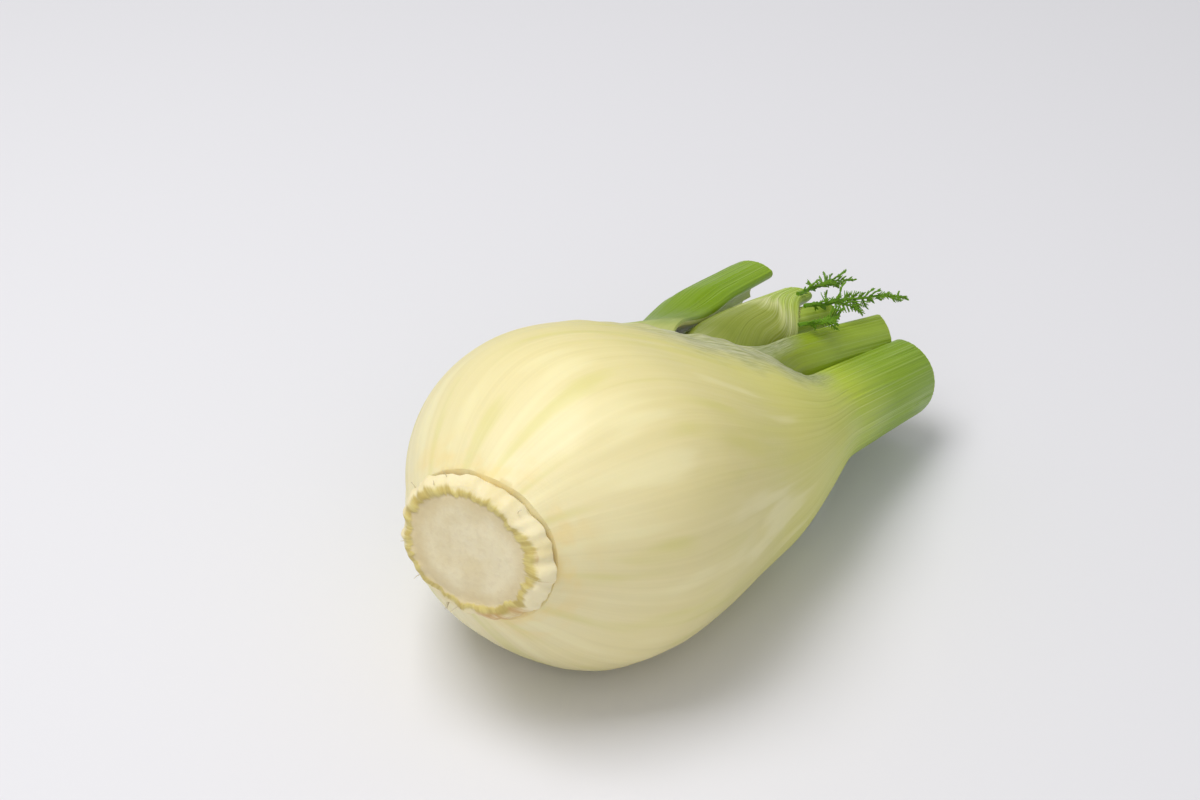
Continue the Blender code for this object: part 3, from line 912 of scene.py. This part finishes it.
# %% The crown's skin
def crown_skin():
    """Beige cut flesh, the olive root ring inside the rim, cream rind with brown scars, and a groove
    painted light.
    """
    made, graph, shader = new_material("root_crown_skin")
    turn, reach, along = (attribute(graph, label) for label in ("turn", "reach", "along"))
    where = graph.node("ShaderNodeTexCoord", None, None, 3)
    cloud = graph.noise(where, 110.0, 4.0)
    grain = graph.noise(where, 700.0, 3.0)

    face = graph.mixed(cloud.ease(0.35, 0.65), rgba(224, 210, 170), rgba(232, 221, 186))
    face = graph.mixed(grain.ease(0.45, 0.7) * 0.2, face, rgba(206, 188, 150))
    face = graph.mixed(reach.ease(1.15, 1.55) * 0.5, face, rgba(208, 188, 140))

    spin = turn * math.pi
    round_x, round_y = graph.sum("COSINE", spin), graph.sum("SINE", spin)
    wander = graph.noise(graph.vector(round_x * 2.2, round_y * 2.2, reach * 0.6), 1.0, 4.0)
    jag = graph.noise(graph.vector(round_x * 11.0, round_y * 11.0, reach * 0.8), 1.0, 3.0)
    lopsided = graph.sum("COSINE", spin - 0.6) * 0.09
    edge = reach - lopsided + (wander - 0.5) * 0.34 + (jag - 0.5) * 0.34
    high = graph.noise(graph.vector(round_x * 0.9, round_y * 0.9, 3.0), 1.0, 1.0).ease(0.35, 0.7)
    ring = edge.ease(1.62, 1.74) * (1 - (edge - high * 0.18).ease(1.79, 1.95))
    rind = graph.mixed(cloud.ease(0.4, 0.7), rgba(243, 231, 189), rgba(234, 219, 168))
    skin = graph.mixed(edge.ease(1.70, 1.88), face, rind)
    olive = graph.mixed(jag.ease(0.35, 0.65), rgba(190, 168, 84), rgba(216, 200, 120))
    skin = graph.mixed(ring * 0.85, skin, olive)

    # Painted light: the groove behind the rim takes a light warm cream. This is partly its own warm
    # tint and partly lightened to paint out the shade that falls in the groove.
    groove = (1 - reach.ease(1.9, 2.08)) * along.ease(0.36, 0.46)
    skin = graph.mixed(groove * 0.8, skin, rgba(246, 216, 148))
    scar = graph.noise(graph.vector(round_x * 1.6, round_y * 1.6, along * 3.0 + 4.0), 1.0, 3.0)
    skin = graph.mixed(scar.ease(0.60, 0.72) * reach.ease(1.85, 2.05) * 0.6, skin, rgba(186, 134, 66))

    spot = graph.sum("COSINE", spin - 2.15).ease(0.90, 0.995)
    spot = spot * reach.ease(1.82, 1.98) * jag.ease(0.35, 0.6)
    skin = graph.mixed(spot * 0.75, skin, rgba(198, 150, 76))

    height = cloud * 0.6 + grain * 0.4 + ring * 0.6
    bump = graph.node("ShaderNodeBump", None, {"Strength": 0.5, "Distance": 0.0006, "Height": height})
    connect(graph, shader, Base_Color=skin, Roughness=cloud * 0.2 + 0.50, Normal=bump)
    set_flesh(shader, 0.12, 0.08)
    return made


crown = add_piece("root_crown_skin", crown_mesh())
crown.data.materials.append(crown_skin())
smooth(crown.data)
dress(crown, "root_crown")
print("The crown has", len(crown.data.polygons), "faces")

# %% [markdown]
# ## Root fibres
# A few hair roots survived the knife. A tree scatters them on the rim's outer band, bends each
# one with noise and gives it a thin round section. The scatter is seeded, so they stay put.

# %% Lines, bends and threads
def bent(graph, line, amount, fineness):
    """Push a curve's points about with noise, so that it wavers."""
    place = graph.node("GeometryNodeInputPosition")
    noise = graph.node("ShaderNodeTexNoise", None, {"Vector": place, "Scale": fineness}, "Color")
    halves = {0: noise, 1: (0.5, 0.5, 0.5)}
    centred = graph.node("ShaderNodeVectorMath", {"operation": "SUBTRACT"}, halves)
    push = graph.node("ShaderNodeVectorMath", {"operation": "SCALE"}, {0: centred, "Scale": amount})
    return graph.node("GeometryNodeSetPosition", None, {"Geometry": line, "Offset": push})


def threaded(graph, line, sides=6):
    """Give curves a round section of their own radius."""
    circle = graph.node("GeometryNodeCurvePrimitiveCircle", None, {"Resolution": sides, "Radius": 1.0})
    radius = graph.node("GeometryNodeInputRadius")
    return graph.node("GeometryNodeCurveToMesh", None,
                      {"Curve": line, "Profile Curve": circle, "Scale": radius, "Fill Caps": True})


def straight(graph, length, thickness, count):
    """A line up z, with a radius that thins to its tip."""
    end = graph.vector(0.0, 0.0, length)
    line = graph.node("GeometryNodeCurvePrimitiveLine", None, {"End": end})
    line = graph.node("GeometryNodeResampleCurve", None, {"Curve": line, "Count": count})
    along = graph.node("GeometryNodeSplineParameter")
    return graph.node("GeometryNodeSetCurveRadius", None,
                      {"Curve": line, "Radius": (1 - along * 0.6) * thickness})


print("A line can now be drawn, bent and given a thickness")

# %% Scatter the fibres
def fibre_tree():
    """Short bent hairs standing on the rim of the crown, beside the crown itself."""
    number = "NodeSocketFloat"
    graph, given = new_tree("root_fibres", [
        ("Density", number, 60000.0), ("Length", number, 0.003), ("Thickness", number, 0.00012),
        ("Seed", "NodeSocketInt", 3), ("Material", "NodeSocketMaterial", None)])
    points = graph.node("GeometryNodeDistributePointsOnFaces", None,
                        {"Mesh": given["Geometry"], "Density": named(graph, "side") * given["Density"],
                         "Seed": given["Seed"]})
    upright = {"Vector": points.also("Normal")}
    stand = graph.node("FunctionNodeAlignRotationToVector", {"axis": "Z"}, upright)
    size = graph.random(0.4, 1.0, 5)
    hair = straight(graph, given["Length"], given["Thickness"], 10)
    hairs = graph.node("GeometryNodeInstanceOnPoints", None,
                       {"Points": points, "Instance": hair, "Rotation": stand, "Scale": size})
    hairs = graph.node("GeometryNodeRealizeInstances", None, {0: hairs})
    return finish_tree(graph, threaded(graph, bent(graph, hairs, 0.003, 180.0)), given["Material"])


def plain_skin(name, shade, roughness):
    """A quiet material of one colour with soft mottling."""
    made, graph, shader = new_material(name)
    where = graph.node("ShaderNodeTexCoord", None, None, 3)
    cloud = graph.noise(where, 220.0, 3.0)
    deep = tuple(c * 0.6 for c in shade)
    connect(graph, shader, Base_Color=graph.mixed(cloud, (*deep, 1.0), (*shade, 1.0)))
    shader.inputs["Roughness"].default_value = roughness
    set_flesh(shader, 0.1, 0.05)
    return made


fibres = add_piece("root_fibres", crown.data.copy())
apply_tree(fibres, fibre_tree(), Density=26000.0, Length=0.0022, Thickness=0.00011, Seed=4,
           Material=plain_skin("fibre_skin", colour(226, 212, 172), 0.6))
smooth(fibres.data)
dress(fibres, "root_crown")
print("The fibres have", len(fibres.data.polygons), "faces")

# %% [markdown]
# ## Feathery fronds
# A fennel frond branches the same way at every level: a rib carries leaflets, and each leaflet
# carries threads. So one rule, used twice, grows the whole frond: copy a child along a line in
# pairs, tilted forward and smaller towards the tip.

# %% Branches
def branch(graph, line, child, count, lean, seed):
    """Copies of a child in pairs along a line, leaning forward and shrinking towards its tip."""
    points = graph.node("GeometryNodeCurveToPoints", {"mode": "COUNT"}, {"Curve": line, "Count": count})
    index = graph.node("GeometryNodeInputIndex")
    part = graph.sum("FRACT", (index + 0.5) / count)
    wobble = graph.random(-0.5, 0.5, seed)
    spin = index * 3.3 + wobble * 1.2
    angles = graph.vector(wobble * 0.5 + lean, 0.0, spin)
    turn = graph.node("FunctionNodeEulerToRotation", None, {0: angles})
    facing = graph.node("FunctionNodeRotateRotation", {"rotation_space": "LOCAL"},
                        {0: points.also("Rotation"), 1: turn})
    size = (1 - part * 0.72) * (wobble * 0.4 + 1) * part.ease(0.0, 0.22)
    made = graph.node("GeometryNodeInstanceOnPoints", None,
                      {"Points": points, "Instance": child, "Rotation": facing, "Scale": size})
    return graph.node("GeometryNodeRealizeInstances", None, {0: made})


def joined(graph, *parts):
    """Join several geometries."""
    whole = graph.tree.nodes.new("GeometryNodeJoinGeometry")
    for part in parts:
        graph.tree.links.new(part.socket, whole.inputs[0])
    return Wire(graph, whole.outputs[0])


print("A branch is copies of a child along a line")

# %% The frond tree
def frond_tree():
    """Grow leaflets and threads on a rib that is given as a line of edges."""
    number, whole = "NodeSocketFloat", "NodeSocketInt"
    graph, given = new_tree("frond", [
        ("Leaflets", whole, 26), ("Leaflet Length", number, 0.010), ("Threads", whole, 9),
        ("Thread Length", number, 0.0045), ("Thickness", number, 0.0002), ("Seed", whole, 1),
        ("Material", "NodeSocketMaterial", None)])
    rib = graph.node("GeometryNodeMeshToCurve", None, {0: given["Geometry"]})
    rib = graph.node("GeometryNodeResampleCurve", None, {"Curve": rib, "Count": 60})
    along = graph.node("GeometryNodeSplineParameter")
    rib = graph.node("GeometryNodeSetCurveRadius", None,
                     {"Curve": rib, "Radius": (1 - along * 0.75) * given["Thickness"] * 2.6})
    thread = straight(graph, given["Thread Length"], given["Thickness"], 5)
    leaflet = straight(graph, given["Leaflet Length"], given["Thickness"] * 1.2, 12)
    seed = given["Seed"]
    leaflet = joined(graph, leaflet, branch(graph, leaflet, thread, given["Threads"], 0.55, seed))
    frond = joined(graph, rib, branch(graph, rib, leaflet, given["Leaflets"], 0.62, seed + 1))
    frond = bent(graph, bent(graph, frond, 0.004, 70.0), 0.0012, 300.0)
    return finish_tree(graph, threaded(graph, frond, 5), given["Material"])


FROND_TREE = frond_tree()
print("The frond tree has", len(FROND_TREE.nodes), "nodes")

# %% Grow the fronds
FRONDS = {
    "frond_long": [(13.7, 0.95, 3.16), (14.8, 1.35, 3.18), (16.0, 1.75, 3.18), (17.5, 2.15, 3.05)],
    "frond_short": [(13.9, 0.62, 3.42), (14.7, 0.66, 3.48), (15.7, 0.72, 3.42), (16.8, 0.80, 3.20)],
    "frond_low": [(12.7, 1.46, 3.02), (13.1, 1.66, 3.04), (13.7, 1.80, 3.06), (14.4, 1.78, 3.10)],
}
frond_skin = plain_skin("frond_skin", colour(108, 158, 20), 0.5)


def rib_line(name, route):
    """A frond's rib as a chain of edges."""
    knots = [(k, *point) for k, point in enumerate(route)]
    points = world(np.array([curve(knots, t) for t in np.linspace(0, len(route) - 1, 24)]))
    mesh = bpy.data.meshes.new(name)
    mesh.from_pydata(points.tolist(), [(i, i + 1) for i in range(len(points) - 1)], [])
    return mesh


for k, (name, route) in enumerate(FRONDS.items()):
    frond = add_piece(name + "_skin", rib_line(name, route))
    reach = (0.0078, 0.0072, 0.0062)[k]
    apply_tree(frond, FROND_TREE, Leaflets=(34, 28, 22)[k], Leaflet_Length=reach, Threads=12,
               Thread_Length=reach * 0.5, Thickness=0.00025, Seed=11 + 7 * k, Material=frond_skin)
    smooth(frond.data)
    dress(frond, name)
    print(frond.name, "has", len(frond.data.polygons), "faces")

# %% [markdown]
# ## Floor, light and camera
# A pale seamless floor and one broad soft light from behind, with a bright sky to lift the
# shadows, suit a glossy vegetable. The camera looks down across the cut root, so both the root
# and the fan of stalks can be seen. It is placed from the bulb's own frame.

# %% The studio
LIT_POINT = Vector((0, 0, 0.04))       # the middle of the bulb, where the lights aim


def area_light(name, away, size, power, tint=(1.0, 1.0, 1.0)):
    """A square soft light at a place relative to the bulb, aimed at it."""
    data = bpy.data.lights.new(name, "AREA")
    data.size, data.energy, data.color = size, power, tint
    lamp = put(name, data)
    lamp.location = away
    lamp.rotation_euler = (LIT_POINT - Vector(away)).to_track_quat("-Z", "Y").to_euler()


FLOOR_HALF = 3.0
corners = [(x * FLOOR_HALF, y * FLOOR_HALF, 0.0) for x, y in ((-1, -1), (1, -1), (1, 1), (-1, 1))]
floor_mesh = bpy.data.meshes.new("floor")
floor_mesh.from_pydata(corners, [], [(0, 1, 2, 3)])
floor_material = bpy.data.materials.new("pale_paper")
floor_material.use_nodes = True
paper = floor_material.node_tree.nodes["Principled BSDF"]
paper.inputs["Base Color"].default_value = rgba(229, 229, 234)
paper.inputs["Roughness"].default_value = 0.9
floor_mesh.materials.append(floor_material)
put("floor", floor_mesh)

sky = bpy.data.worlds.new("soft_sky")
sky.use_nodes = True
sky.node_tree.nodes["Background"].inputs["Color"].default_value = (1.0, 1.0, 1.0, 1.0)
sky.node_tree.nodes["Background"].inputs["Strength"].default_value = 0.46
bpy.context.scene.world = sky
area_light("key", (-0.20, 0.26, 1.04), 0.6, 7.4, (1.0, 0.985, 0.965))
area_light("fill", (-0.8, -0.5, 0.5), 0.8, 1.2)
bpy.context.scene.view_settings.view_transform = "Standard"

# %% The camera
ELEVATION = math.radians(34.4)
AZIMUTH = math.radians(-56.2)
DISTANCE = 0.60
VIEW_CENTRE = (6.90, -1.05, 1.60)     # the middle of the view, in the bulb's frame
back = Vector((math.sin(AZIMUTH) * math.cos(ELEVATION), -math.cos(AZIMUTH) * math.cos(ELEVATION),
               math.sin(ELEVATION)))
camera = put("camera", bpy.data.cameras.new("camera"))
camera.data.lens = 70.0
camera.data.sensor_width = 36.0
camera.data.clip_end = 20.0
camera.location = Vector(world(VIEW_CENTRE)) + back * DISTANCE
camera.rotation_euler = back.to_track_quat("Z", "Y").to_euler()
bpy.context.scene.camera = camera
print("Camera at", [round(x, 3) for x in camera.location])
